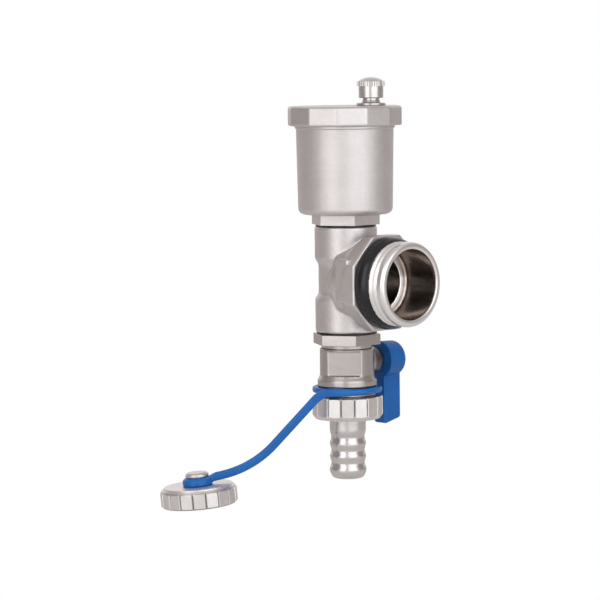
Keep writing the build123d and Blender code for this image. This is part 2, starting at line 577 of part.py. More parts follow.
def make_hose_tail():
    """Hose tail with a flange held by the nut and three barbs."""
    lip = -NUT_LIP + TOUCH_GAP
    barbs = []
    for k in range(BARBS):
        top = -TAIL_END + 4.4 + (BARBS - 1 - k) * BARB_PITCH
        last = k == BARBS - 1
        barbs += [(BARB_R, top), (BARB_R, top - (2.2 if last else 0.7))]
        if not last:
            barbs += [(BARB_ROOT_R, top - 3.3), (BARB_ROOT_R, top - BARB_PITCH + 1.3)]
    return lathe((TAIL_BORE_R, -TAIL_FLANGE), (TAIL_FLANGE_R, -TAIL_FLANGE), (TAIL_FLANGE_R, lip),
                 (TAIL_NECK_R, lip),
                 (TAIL_NECK_R, -TAIL_END + 18.5), (BARB_ROOT_R, -TAIL_END + 16.7), *barbs,
                 (BARB_R - 0.95, -TAIL_END + 0.5), (BARB_R - 1.95, -TAIL_END), (TAIL_BORE_R, -TAIL_END))


def make_tail_washer():
    """Rubber washer between the valve outlet and the hose tail."""
    return tube(TAIL_BORE_R + 0.6, TAIL_FLANGE_R - 0.1, -TAIL_FLANGE + TOUCH_GAP, -OUTLET_END - SEAL_GAP)


TO_FRONT = (math.cos(math.radians(-45)), math.sin(math.radians(-45)))
TO_SIDE = (math.cos(math.radians(-135)), math.sin(math.radians(-135)))
SIDE_PLANE = Plane(origin=(STRAP_FRONT * TO_FRONT[0], STRAP_FRONT * TO_FRONT[1], 0),
                   x_dir=(TO_SIDE[0], TO_SIDE[1], 0), z_dir=(-TO_FRONT[0], -TO_FRONT[1], 0))


def cap_plane():
    """Frame of the hanging cap: origin in the middle of its top face, Z along its axis."""
    lean = math.radians(CAP_TILT)
    x = STRAP_FRONT * TO_FRONT[0] + CAP_U * TO_SIDE[0]
    y = STRAP_FRONT * TO_FRONT[1] + CAP_U * TO_SIDE[1]
    right = (-TO_SIDE[0] * math.cos(lean), -TO_SIDE[1] * math.cos(lean), math.sin(lean))
    up = (TO_SIDE[0] * math.sin(lean), TO_SIDE[1] * math.sin(lean), math.cos(lean))
    return Plane(origin=(x, y, CAP_TOP), x_dir=right, z_dir=up)


def bent_band(points, radii, half):
    """Outline of a band of constant width along straight runs joined by arcs."""
    sides = ([], [])
    count = len(points)
    for k in range(count):
        here = Vector(*points[k])
        if k in (0, count - 1):
            other = Vector(*points[1 if k == 0 else count - 2])
            run = (other - here) if k == 0 else (here - other)
            normal = Vector(-run.Y, run.X) / run.length
            sides[0].append(("to", here + normal * half))
            sides[1].append(("to", here - normal * half))
            continue
        before = (here - Vector(*points[k - 1])).normalized()
        after = (Vector(*points[k + 1]) - here).normalized()
        turn = math.acos(max(-1.0, min(1.0, before.dot(after))))
        sign = 1.0 if before.X * after.Y - before.Y * after.X > 0 else -1.0
        radius = radii[k - 1]
        reach = radius * math.tan(turn / 2)
        first = here - before * reach
        last = here + after * reach
        centre = first + Vector(-before.Y, before.X) * (sign * radius)
        middle = (here - centre).normalized()
        for side, offset in ((0, half), (1, -half)):
            scale = (radius - sign * offset) / radius
            sides[side].append(("to", centre + (first - centre) * scale))
            through = centre + middle * (radius - sign * offset)
            sides[side].append(("arc", through, centre + (last - centre) * scale))
    edges = []
    for side in sides:
        here = side[0][1]
        for step in side[1:]:
            if step[0] == "to":
                edges.append(Line(here, step[1]))
            else:
                edges.append(ThreePointArc(here, step[1], step[2]))
            here = step[-1]
    edges.append(Line(sides[0][0][1], sides[1][0][1]))
    edges.append(Line(sides[0][-1][-1], sides[1][-1][-1]))
    return make_face(edges)


def make_cap_strap():
    """Strap moulded in one piece: ring on the valve neck, bent tail and eye on the cap."""
    low = -STRAP_RING_TOP - STRAP_RING_H
    ring = tube(RING_NECK_R + 0.15, STRAP_RING_R, low, -STRAP_RING_TOP)
    ring = chamfer(ring.edges().filter_by(GeomType.CIRCLE).sort_by(SortBy.RADIUS)[-2:], 0.5)
    middle = (low - STRAP_RING_TOP) / 2
    path = [(0.0, middle), (STRAP_BEND_U, middle),
            (CAP_U - STRAP_FOOT_U, CAP_TOP + STRAP_FOOT_RISE), (CAP_U, CAP_TOP + STRAP_H / 2)]
    band = extrude(bent_band(path, (STRAP_BEND_R, STRAP_FOOT_R), STRAP_H / 2), STRAP_T / 2, both=True)
    band = chamfer(band.faces().sort_by(Axis.Z)[-1].edges() + band.faces().sort_by(Axis.Z)[0].edges(), 0.7)
    under = make_face(Polyline((-3, low), (1, low), (9, low - 1.2), (9, low - 4), (-3, low - 4), close=True))
    band = band & block(-2, 2 * CAP_U, 2 * CAP_TOP, -STRAP_RING_TOP, -10, 10)
    band = band - extrude(under, 10, both=True)
    tail = SIDE_PLANE * band - disc(RING_NECK_R + 0.15, 2 * low, -BODY_TOP)
    place = Location(cap_plane())
    eye = chamfer((place * disc(EYE_R, TOUCH_GAP, EYE_T)).edges().filter_by(GeomType.CIRCLE), 0.5)
    tail = tail - place * disc(RIVET_R + 0.3, EYE_T, 20) - place * disc(CAP_R, -5, TOUCH_GAP)
    return ring + tail + eye - place * disc(2.05, -1, 5)


def make_end_cap():
    """Fluted end cap, open below, that screws on the outlet when the hose tail is off."""
    rim = Pos(0, 0, -CAP_H) * extrude(fluted(CAP_R + 0.05, CAP_R - 0.6, 4.4, CAP_FLUTES, 4), CAP_H)
    shape = lathe((0, -CAP_H), (CAP_R - 0.8, -CAP_H), (CAP_R + 0.1, -CAP_H + 0.8), (CAP_R + 0.1, -2.1),
                  (CAP_R - 0.85, -0.7), (CAP_R - 1.45, -0.6), (CAP_R - 1.45, -0.2), (CAP_R - 1.65, 0), (0, 0))
    inside = lathe((0, -CAP_H - 1), (SOCKET_R, -CAP_H - 1), (SOCKET_R, -CAP_ROOF), (0, -CAP_ROOF))
    cap = (rim & shape) - inside - disc(2.0, -5, 5)
    return Location(cap_plane()) * cap


def make_cap_washer():
    """Rubber washer in the floor of the end cap."""
    return Location(cap_plane()) * tube(2.9, SOCKET_R - 0.1, -CAP_ROOF - 1.2, -CAP_ROOF - TOUCH_GAP)


def make_cap_rivet():
    """Rivet that holds the strap on the cap, with a wide flat head."""
    head = EYE_T + TOUCH_GAP
    under = -CAP_ROOF - TOUCH_GAP
    rivet = lathe((0, -CAP_ROOF - 1.0), (2.7, -CAP_ROOF - 1.0), (2.7, under), (1.98, under), (1.98, head),
                  (RIVET_R - 0.2, head), (RIVET_R, head + 0.2), (RIVET_R, head + 1.1),
                  (RIVET_R - 0.7, head + 1.8), (0, head + 1.8))
    return Location(cap_plane()) * rivet


def all_pieces():
    """Every piece by name, drawn about the run axis."""
    return {
        "tee": make_tee(),
        "branch_seal": make_branch_seal(),
        "vent_body": make_vent_body(),
        "vent_base_seal": make_gasket(TEE_UP),
        "vent_cover": make_vent_cover(),
        "cover_seal": make_cover_seal(),
        "vent_nozzle": make_nozzle(),
        "vent_cap": make_vent_cap(),
        "vent_cap_seal": make_vent_cap_seal(),
        "float": make_float(),
        "float_arm": make_float_arm(),
        "arm_pad": make_arm_pad(),
        "arm_pin": make_arm_pin(),
        "valve_seal": make_gasket(-TEE_DOWN - WASHER_T),
        "valve_inlet": make_valve_inlet(),
        "valve_body": make_valve_body(),
        "seat_upper": make_seat(True),
        "seat_lower": make_seat(False),
        "ball": make_ball(),
        "stem": make_stem(),
        "stem_seal_inner": make_stem_seal(STEM_GROOVES[0]),
        "stem_seal_outer": make_stem_seal(STEM_GROOVES[1]),
        "stem_washer": make_stem_washer(),
        "lever": make_lever(),
        "lever_screw": make_lever_screw(),
        "union_nut": make_union_nut(),
        "hose_tail": make_hose_tail(),
        "tail_washer": make_tail_washer(),
        "cap_strap": make_cap_strap(),
        "end_cap": make_end_cap(),
        "cap_washer": make_cap_washer(),
        "cap_rivet": make_cap_rivet(),
    }


def main():
    """Move every piece to the branch frame and write one STEP file for each."""
    os.makedirs("parts", exist_ok=True)
    shift = Pos(-RUN_TO_THREAD, 0, 0)
    for name, shape in all_pieces().items():
        piece = shift * shape
        solids = piece.solids()
        piece = solids[0] if len(solids) == 1 else Compound(children=list(solids))
        export_step(piece, os.path.join("parts", name + ".step"))


main()
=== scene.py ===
"""Drain valve assembly with its finishes, moulded strap, sealing ring and hose tail, in a plain studio.

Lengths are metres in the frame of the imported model, unless a name ends in mm.
"""
import math

import bmesh
import bpy
from mathutils import Matrix
import numpy as np


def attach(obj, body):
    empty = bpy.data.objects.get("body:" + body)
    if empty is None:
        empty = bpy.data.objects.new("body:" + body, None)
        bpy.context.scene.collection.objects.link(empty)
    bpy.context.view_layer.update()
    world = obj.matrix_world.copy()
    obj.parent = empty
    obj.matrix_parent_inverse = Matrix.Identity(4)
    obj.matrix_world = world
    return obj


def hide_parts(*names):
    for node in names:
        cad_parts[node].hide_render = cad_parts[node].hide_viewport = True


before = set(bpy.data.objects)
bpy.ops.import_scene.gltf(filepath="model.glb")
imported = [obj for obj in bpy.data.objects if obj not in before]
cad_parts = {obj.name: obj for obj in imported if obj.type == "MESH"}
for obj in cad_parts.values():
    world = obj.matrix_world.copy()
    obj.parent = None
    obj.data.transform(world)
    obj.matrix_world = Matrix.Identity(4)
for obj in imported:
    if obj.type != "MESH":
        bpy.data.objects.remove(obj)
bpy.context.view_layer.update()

bl_info = {
    "name": "Drain valve assembly",
    "version": (1, 0, 0),
    "blender": (4, 5, 0),
    "location": "View3D > Sidebar > Drain valve",
    "description": "Finishes and soft-edged pieces for a manifold end set",
    "category": "Object",
}

MM = 0.001

# Directions: out of the strap's plane, along the strap, and up
FRONT = np.array([math.sqrt(0.5), -math.sqrt(0.5), 0.0])
SIDE = np.array([-math.sqrt(0.5), -math.sqrt(0.5), 0.0])
UP = np.array([0.0, 0.0, 1.0])

# Axes of the run and of the vent's nozzle
RUN_MM = np.array([-28.5, 0.0, 0.0])
NOZZLE_OUT_MM = 10.5
NOZZLE_MM = RUN_MM - NOZZLE_OUT_MM * SIDE

# Top face of the end cap, which hangs a little tilted on the strap
STRAP_FRONT_MM = 12.9
CAP_ALONG_MM = 59.4
CAP_HEIGHT_MM = -79.6
CAP_TILT = math.radians(4.6)
CAP_MM = RUN_MM + STRAP_FRONT_MM * FRONT + CAP_ALONG_MM * SIDE + CAP_HEIGHT_MM * UP
CAP_RIGHT = -SIDE * math.cos(CAP_TILT) + UP * math.sin(CAP_TILT)
CAP_UP = SIDE * math.sin(CAP_TILT) + UP * math.cos(CAP_TILT)
CAP_BACK = np.cross(CAP_UP, CAP_RIGHT)

# Zones of the finishes: the branch along X, the stem boss along Y, which has painted shade from the lever
BORE_R_MM = 14.05
BORE_END_MM = -21.15
RIM_MM = 7.4
SEAT_R_MM = 11.95
SEAT_BACK_MM = -9.25
SEAT_FRONT_MM = -8.35
THREAD_START_MM = -0.6
BOSS_SHADE_EDGE_MM = 11.55

# Grooves between milled ribs, with painted shade in them: radius, top and bottom about the piece's own axis
NUT_GROOVE_MM = (13.85, -46.6, -52.9)
CAP_GROOVE_MM = (14.85, -1.2, -7.9)


class DrainValveSizes(bpy.types.PropertyGroup):
    """Sizes of the pieces that this file makes, in millimetres."""

    strap_width_mm: bpy.props.FloatProperty(
        name="Strap width", description="Width of the strap across its bend, in mm", default=3.4, min=1.0)
    strap_depth_mm: bpy.props.FloatProperty(
        name="Strap depth", description="Depth of the strap from front to back, in mm", default=3.0, min=1.0)
    strap_ring_mm: bpy.props.FloatProperty(
        name="Strap ring", description="Outer radius of the strap ring, in mm", default=13.95, min=12.0)
    seal_radius_mm: bpy.props.FloatProperty(
        name="Seal radius", description="Outer radius of the branch seal, in mm", default=18.1, min=15.0)
    barb_crest_mm: bpy.props.FloatProperty(
        name="Barb crest", description="Radius of the barbs of the hose tail, in mm", default=7.25, min=5.0)
    edge_round_mm: bpy.props.FloatProperty(
        name="Edge rounding", description="Rounding of the edges of pot, valve inlet and turned pieces",
        default=0.24, min=0.0)


class DrainValveFinish(bpy.types.PropertyGroup):
    """Colours of the finishes, as linear values."""

    cast_nickel: bpy.props.FloatVectorProperty(
        name="Cast nickel", description="Satin nickel on the castings", subtype="COLOR",
        default=(0.64, 0.61, 0.597))
    valve_nickel: bpy.props.FloatVectorProperty(
        name="Valve nickel", description="Glossier nickel on the valve", subtype="COLOR",
        default=(0.48, 0.447, 0.425))
    cut_nickel: bpy.props.FloatVectorProperty(
        name="Cut nickel", description="Machined thread and rim of the branch", subtype="COLOR",
        default=(0.80, 0.785, 0.77))
    bore_tone: bpy.props.FloatVectorProperty(
        name="Bore", description="Drawn inside of the branch", subtype="COLOR",
        default=(0.46, 0.402, 0.365))
    turned_nickel: bpy.props.FloatVectorProperty(
        name="Turned nickel", description="Bright nickel on turned pieces", subtype="COLOR",
        default=(0.71, 0.685, 0.67))
    blue_plastic: bpy.props.FloatVectorProperty(
        name="Blue plastic", description="Moulded plastic of lever and strap", subtype="COLOR",
        default=(0.004, 0.112, 0.395))
    black_rubber: bpy.props.FloatVectorProperty(
        name="Black rubber", description="Rubber of the seals", subtype="COLOR",
        default=(0.005, 0.005, 0.007))


class Value:
    """A shader value; its operators add Math nodes to the tree that it belongs to."""

    def __init__(self, nodes, socket):
        self.nodes = nodes
        self.socket = socket

    def _math(self, operation, first, second):
        return self.nodes.node("ShaderNodeMath", {"operation": operation}, {0: first, 1: second})

    def __add__(self, other):
        return self._math("ADD", self, other)

    def __radd__(self, other):
        return self._math("ADD", other, self)

    def __sub__(self, other):
        return self._math("SUBTRACT", self, other)

    def __rsub__(self, other):
        return self._math("SUBTRACT", other, self)

    def __mul__(self, other):
        return self._math("MULTIPLY", self, other)

    def __rmul__(self, other):
        return self._math("MULTIPLY", other, self)

    def __pow__(self, other):
        return self._math("POWER", self, other)


class Nodes:
    """A node tree, with methods that add nodes and return one of their outputs as a Value."""

    def __init__(self, tree):
        self.tree = tree

    def feed(self, socket, given):
        """Link a Value to a socket, or set the socket to a plain value."""
        if isinstance(given, Value):
            self.tree.links.new(given.socket, socket)
        else:
            socket.default_value = given

    def node(self, kind, settings=None, sockets=None, output=0):
        """Add a node: its settings first, then the values or links of its sockets."""
        made = self.tree.nodes.new(kind)
        for key, given in (settings or {}).items():
            setattr(made, key, given)
        for key, given in (sockets or {}).items():
            self.feed(made.inputs[key], given)
        return Value(self, made.outputs[output])

    def axis(self, where, index):
        """One coordinate of a vector."""
        return self.node("ShaderNodeSeparateXYZ", {}, {0: where}, output=index)

    def dot(self, where, direction):
        """Distance of a vector along a direction."""
        return self.node("ShaderNodeVectorMath", {"operation": "DOT_PRODUCT"},
                         {0: where, 1: tuple(direction)}, output="Value")

    def ramp(self, value, low, high):
        """Rise smoothly from 0 at low to 1 at high."""
        return self.node("ShaderNodeMapRange", {"interpolation_type": "SMOOTHSTEP"},
                         {"Value": value, "From Min": low, "From Max": high, "To Min": 0.0, "To Max": 1.0})

    def above(self, value, edge_mm, soft_mm):
        """Mask that is 1 above an edge, which is softened by a distance to both sides."""
        return self.ramp(value, (edge_mm - soft_mm) * MM, (edge_mm + soft_mm) * MM)

    def below(self, value, edge_mm, soft_mm):
        """Mask that is 1 below an edge, which is softened by a distance to both sides."""
        return self.ramp(value, (edge_mm + soft_mm) * MM, (edge_mm - soft_mm) * MM)

    def mix(self, factor, first, second):
        """Mix two colours."""
        return self.node("ShaderNodeMix", {"data_type": "RGBA"},
                         {0: factor, 6: colour(first), 7: colour(second)}, output=2)


class Finish(Nodes):
    """A material, whose nodes feed its surface shader."""

    def __init__(self, name):
        self.material = bpy.data.materials.new(name)
        self.material.use_nodes = True
        super().__init__(self.material.node_tree)
        self.shader = self.tree.nodes["Principled BSDF"]

    def set(self, **sockets):
        """Feed sockets of the surface shader, named with underscores for blanks."""
        for key, given in sockets.items():
            self.feed(self.shader.inputs[key.replace("_", " ")], given)

    def place(self, centre=(0.0, 0.0, 0.0), scale=(1.0, 1.0, 1.0)):
        """Object coordinates, moved so that centre is at zero, then scaled."""
        where = self.node("ShaderNodeTexCoord", output="Object")
        moved = self.node("ShaderNodeVectorMath", {"operation": "SUBTRACT"}, {0: where, 1: tuple(centre)})
        return self.node("ShaderNodeMapping", {"vector_type": "POINT"}, {"Vector": moved, "Scale": scale})

    def noise(self, where, scale, detail=2.0, roughness=0.5):
        """Cloud pattern from 0 to 1."""
        return self.node("ShaderNodeTexNoise", {}, {"Vector": where, "Scale": scale, "Detail": detail,
                                                    "Roughness": roughness})

    def patches(self, noise):
        """Noise with its contrast raised, so that light and dark patches show."""
        return self.ramp(noise, 0.3, 0.7)

    def bump(self, height, strength, depth_mm):
        """Bump from a height pattern, fed to the shader's normal."""
        self.set(Normal=self.node("ShaderNodeBump", {}, {"Height": height, "Strength": strength,
                                                         "Distance": depth_mm * MM}))


def colour(given):
    """A colour with its alpha; links pass unchanged."""
    if isinstance(given, Value):
        return given
    return tuple(given[:3]) + (1.0,)


def shade(given, factor):
    """A colour made lighter or darker by a factor."""
    return tuple(min(1.0, c * factor) for c in given[:3])


def axis_place(finish, centre_mm, lean=0.0):
    """Radius and height about an axis through a centre that leans to the strap's side by an angle."""
    where = finish.place(centre=centre_mm * MM)
    x = finish.dot(where, -SIDE * math.cos(lean) + UP * math.sin(lean))
    y = finish.dot(where, FRONT)
    height = finish.dot(where, SIDE * math.sin(lean) + UP * math.cos(lean))
    return (x * x + y * y) ** 0.5, height


def ring_lines(finish, radius, height, scale, roughness):
    """Fine rings about an axis: a noise of the coordinates (radius, 0, height)."""
    where = finish.node("ShaderNodeCombineXYZ", {}, {0: radius, 1: 0.0, 2: height})
    return finish.noise(where, scale, detail=3.0, roughness=roughness)


def cast_skin(finish, base, rough):
    """Tone, roughness and height of satin plating over a cast skin: fine grain and a faint cloudy drift."""
    where = finish.place()
    grain = finish.noise(where, scale=2600.0, detail=3.0, roughness=0.65)
    cloud = finish.noise(where, scale=150.0, detail=3.0, roughness=0.6)
    specks = finish.noise(where, scale=1100.0, detail=2.0, roughness=0.6)
    drift = finish.patches(cloud) * 0.45 + finish.patches(specks) * 0.55
    tone = finish.mix(drift, shade(base, 0.93), shade(base, 1.06))
    return tone, rough + (grain - 0.5) * 0.14, grain


def cast_finish(name, base, rough, painted_shade_edge_mm=None):
    """Satin plating over a plain cast skin. Past the edge of a boss along Y the metal is painted darker:
    painted shade of the lever on the boss.
    """
    finish = Finish(name)
    tone, roughness, grain = cast_skin(finish, base, rough)
    if painted_shade_edge_mm:
        # Painted shade: past the boss edge the tone falls to 0.3 of the base, for the shadow of the lever
        boss_shade = finish.above(finish.axis(finish.place(), 1), painted_shade_edge_mm, 0.75)
        tone = finish.mix(boss_shade, tone, shade(base, 0.3))
    finish.set(Base_Color=tone, Roughness=roughness, Metallic=1.0)
    finish.bump(grain, strength=0.22, depth_mm=0.06)
    return finish.material


def brushed_finish(name, base, rough, centre_mm):
    """Satin plating over a skin that was turned: the grain is drawn out into fine rings about the axis."""
    finish = Finish(name)
    tone, roughness, grain = cast_skin(finish, base, rough)
    radius, height = axis_place(finish, centre_mm)
    lines = ring_lines(finish, radius, height, scale=2300.0, roughness=0.7)
    tone = finish.mix(finish.ramp(lines, 0.25, 0.75) * 0.5, tone, shade(base, 0.90))
    finish.set(Base_Color=tone, Roughness=roughness, Metallic=1.0)
    finish.bump(grain * 0.6 + lines * 0.6, strength=0.25, depth_mm=0.07)
    return finish.material


def tee_finish(name, base, cut_tone, bore_tone, rough):
    """Cast skin, with a bright thread and rim, a dark drawn bore and a bright seat edge behind it."""
    finish = Finish(name)
    tone, roughness, grain = cast_skin(finish, base, rough)
    where = finish.place()
    along = finish.axis(where, 0)
    y = finish.axis(where, 1)
    z = finish.axis(where, 2)
    radius = (y * y + z * z) ** 0.5
    bore = finish.below(radius, BORE_R_MM, 0.1) * finish.above(along, BORE_END_MM, 0.35)
    bore = bore * finish.below(along, RIM_MM, 0.2)
    seat = finish.above(along, SEAT_BACK_MM, 0.15) * finish.below(along, SEAT_FRONT_MM, 0.15)
    seat = seat * finish.below(radius, SEAT_R_MM, 0.15)
    cut = finish.above(along, THREAD_START_MM, 0.3)
    streaks = finish.noise(finish.place(scale=(0.03, 1.0, 1.0)), scale=190.0)
    rings = finish.noise(finish.place(scale=(1.0, 0.02, 0.02)), scale=5200.0)
    drawn = finish.mix(finish.patches(streaks), shade(bore_tone, 0.82), shade(bore_tone, 1.3))
    tone = finish.mix(cut + seat, tone, cut_tone)
    tone = finish.mix(bore * (1.0 - seat), tone, drawn)
    machined = cut + bore - cut * bore
    finish.set(Base_Color=tone, Roughness=roughness * (1.0 - machined * 0.3 - bore * 0.2), Metallic=1.0)
    finish.bump(grain * (1.0 - machined) + rings * machined, strength=0.22, depth_mm=0.06)
    return finish.material


def turned_finish(name, base, rough, centre_mm, lean=0.0, shaded_groove_mm=None):
    """Bright plating on a turned surface, with fine rings about its axis. Inside a groove, given as
    radius, top and bottom, the tone is painted darker: painted shade between milled ribs."""
    finish = Finish(name)
    radius, height = axis_place(finish, centre_mm, lean)
    lines = ring_lines(finish, radius, height, scale=4200.0, roughness=0.6)
    cloud = finish.noise(finish.place(), scale=220.0)
    tone = finish.mix(finish.patches(cloud), shade(base, 0.96), shade(base, 1.03))
    if shaded_groove_mm:
        groove_r, top, bottom = shaded_groove_mm
        # Painted shade: inside the groove the tone falls to 0.6 of the base
        low = finish.below(radius, groove_r, 0.12) * finish.below(height, top, 0.2)
        tone = finish.mix(low * finish.above(height, bottom, 0.2), tone, shade(base, 0.6))
    finish.set(Base_Color=tone, Roughness=rough + (lines - 0.5) * 0.16, Metallic=1.0)
    finish.bump(lines, strength=0.12, depth_mm=0.04)
    return finish.material


def moulded_finish(name, base, rough):
    """Moulded plastic: faint tone drift and a fine matt texture."""
    finish = Finish(name)
    where = finish.place()
    texture = finish.noise(where, scale=3200.0, roughness=0.6)
    drift = finish.noise(where, scale=90.0)
    tone = finish.mix(finish.patches(drift), shade(base, 0.92), shade(base, 1.08))
    finish.set(Base_Color=tone, Roughness=rough + (texture - 0.5) * 0.12, Specular_IOR_Level=0.35)
    finish.bump(texture, strength=0.10, depth_mm=0.05)
    return finish.material


def rubber_finish(name, base, rough):
    """Smooth black rubber, with fine moulding grain and a slight bloom in patches."""
    finish = Finish(name)
    where = finish.place()
    grain = finish.noise(where, scale=2400.0, detail=3.0, roughness=0.6)
    bloom = finish.noise(where, scale=200.0, detail=3.0)
    tone = finish.mix(finish.ramp(bloom, 0.45, 0.8), base, shade(base, 1.9))
    finish.set(Base_Color=tone, Roughness=rough + (grain - 0.5) * 0.12, Specular_IOR_Level=0.42)
    finish.bump(grain, strength=0.12, depth_mm=0.05)
    return finish.material


def plain_finish(name, base, rough, metallic=0.0):
    """Hidden working pieces: light variation of tone and gloss."""
    finish = Finish(name)
    cloud = finish.noise(finish.place(), scale=500.0, detail=3.0)
    tone = finish.mix(cloud, shade(base, 0.9), shade(base, 1.08))
    finish.set(Base_Color=tone, Roughness=rough + (cloud - 0.5) * 0.1, Metallic=metallic)
    return finish.material


# Largest share of a side that the cut at one of its corners may take
CUT_SHARE = 0.48


def rounded(corners, steps=5):
    """Closed outline with soft corners, given as rows of (radius, height, cut): each corner is cut back
    along both sides and bridged by (1-t)^2 a + 2t(1-t) corner + t^2 b, for all corners at once."""
    rows = np.asarray(corners, float)
    p = rows[:, :2]
    cut = rows[:, 2:]
    before = np.roll(p, 1, axis=0) - p
    after = np.roll(p, -1, axis=0) - p
    before_len = np.linalg.norm(before, axis=1, keepdims=True)
    after_len = np.linalg.norm(after, axis=1, keepdims=True)
    a = p + before / before_len * np.minimum(cut, before_len * CUT_SHARE)
    b = p + after / after_len * np.minimum(cut, after_len * CUT_SHARE)
    t = np.linspace(0.0, 1.0, steps)[None, :, None]
    curve = (1 - t) ** 2 * a[:, None] + 2 * t * (1 - t) * p[:, None] + t ** 2 * b[:, None]
    return curve.reshape(-1, 2)


def turned(outline, count):
    """Closed outline of (radius, height) carried round the Z axis: x = r cos a, y = r sin a, z = h."""
    angle = np.linspace(0.0, 2.0 * np.pi, count, endpoint=False)[None, :]
    radius = outline[:, :1]
    height = np.broadcast_to(outline[:, 1:], (len(outline), count))
    return np.stack([radius * np.cos(angle), radius * np.sin(angle), height], axis=2)


def grid_faces(rows, columns, first=0, wrap_rows=True):
    """Quads of a grid that closes along its columns, and along its rows as well when asked."""
    r = np.arange(rows if wrap_rows else rows - 1)[:, None]
    c = np.arange(columns)[None, :]
    r_next = (r + 1) % rows
    c_next = (c + 1) % columns
    quads = np.stack(np.broadcast_arrays(r * columns + c, r * columns + c_next,
                                         r_next * columns + c_next, r_next * columns + c), axis=2)
    return quads.reshape(-1, 4) + first


def add_piece(name, shells, material, body, nodes):
    """One mesh object from closed grids, each given as (points in mm, closes along its rows)."""
    points = []
    faces = []
    total = 0
    for grid, wraps in shells:
        rows, columns = grid.shape[:2]
        points.append(grid.reshape(-1, 3))
        faces += grid_faces(rows, columns, total, wraps).tolist()
        if not wraps:
            faces.append(list(range(total + columns - 1, total - 1, -1)))
            faces.append(list(range(total + (rows - 1) * columns, total + rows * columns)))
        total += rows * columns
    mesh = bpy.data.meshes.new(name)
    mesh.from_pydata((np.concatenate(points) * MM).tolist(), [], faces)
    mesh.update()
    obj = bpy.data.objects.new(name, mesh)
    bpy.context.scene.collection.objects.link(obj)
    fix_normals(mesh)
    smooth_faces(mesh)
    mesh.materials.append(material)
    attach(obj, body)
    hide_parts(*nodes)
    return obj


def fix_normals(mesh):
    """Turn each closed shell's faces outwards."""
    work = bmesh.new()
    work.from_mesh(mesh)
    bmesh.ops.recalc_face_normals(work, faces=work.faces)
    work.to_mesh(mesh)
    work.free()


def smooth_faces(mesh):
    """Shade all faces smooth."""
    mesh.polygons.foreach_set("use_smooth", np.ones(len(mesh.polygons), bool))


# Soft edges: merging distance, inset of moulded skins, share of the rounding on turned pieces
MERGE_MM = 0.001
MOULD_INSET_MM = 0.02
TURNED_ROUND = 0.7


def merge(obj):
    """Join the loose triangles of a piece at their shared points."""
    weld = obj.modifiers.new("Merge", "WELD")
    weld.merge_threshold = MERGE_MM * MM


def mould(obj, voxel_mm, rounds):
    """Melt a cast or moulded piece into one skin on a fine grid and let its edges go soft. A small inset
    keeps the skin inside the solid."""
    merge(obj)
    melt = obj.modifiers.new("Melt", "REMESH")
    melt.mode = "VOXEL"
    melt.voxel_size = voxel_mm * MM
    melt.use_smooth_shade = True
    smooth = obj.modifiers.new("Soft edges", "SMOOTH")
    smooth.factor = 0.5
    smooth.iterations = rounds
    inset = obj.modifiers.new("Inset", "DISPLACE")
    inset.mid_level = 0.0
    inset.strength = -MOULD_INSET_MM * MM


def soften(obj, width_mm):
    """Round the edges of a CAD piece, as far as its shortest edge allows, and smooth its curved faces."""
    merge(obj)
    flat = obj.modifiers.new("Flat faces", "DECIMATE")
    flat.decimate_type = "DISSOLVE"
    flat.angle_limit = math.radians(0.4)
    bevel = obj.modifiers.new("Soft edges", "BEVEL")
    bevel.width = width_mm * MM
    bevel.segments = 2
    bevel.limit_method = "ANGLE"
    bevel.angle_limit = math.radians(28.0)
    bevel.use_clamp_overlap = True
    normals = obj.modifiers.new("Face normals", "WEIGHTED_NORMAL")
    normals.keep_sharp = False
    normals.weight = 60
    smooth_faces(obj.data)


def dress(names, material):
    """Give CAD pieces a material."""
    for name in names:
        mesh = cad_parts[name].data
        mesh.materials.clear()
        mesh.materials.append(material)


class DRAINVALVE_OT_castings(bpy.types.Operator):
    """Satin cast nickel on the tee, the air vent and the valve"""

    bl_idname = "drainvalve.castings"
    bl_label = "Castings"

    def execute(self, context):
        look = context.scene.drainvalve_finish
        size = context.scene.drainvalve_sizes
        nickel = look.cast_nickel
        dress(["tee"], tee_finish("cast_tee", nickel, look.cut_nickel, look.bore_tone, rough=0.43))
        dress(["vent_body"], brushed_finish("brushed_pot", shade(nickel, 1.03), rough=0.49, centre_mm=RUN_MM))
        dress(["vent_cover"], cast_finish("cast_cover", shade(nickel, 0.965), rough=0.41))
        dress(["valve_inlet"], cast_finish("cast_valve", look.valve_nickel, rough=0.30))
        # The valve body gets painted shade on its boss, next to the lever
        dress(["valve_body"],
              cast_finish("cast_valve_boss_shade", look.valve_nickel, rough=0.30, painted_shade_edge_mm=BOSS_SHADE_EDGE_MM))
        for name in ("vent_body", "valve_inlet"):
            soften(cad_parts[name], size.edge_round_mm)
        mould(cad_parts["tee"], voxel_mm=0.41, rounds=4)
        mould(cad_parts["valve_body"], voxel_mm=0.26, rounds=4)
        mould(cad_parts["vent_cover"], voxel_mm=0.28, rounds=9)
        return {"FINISHED"}


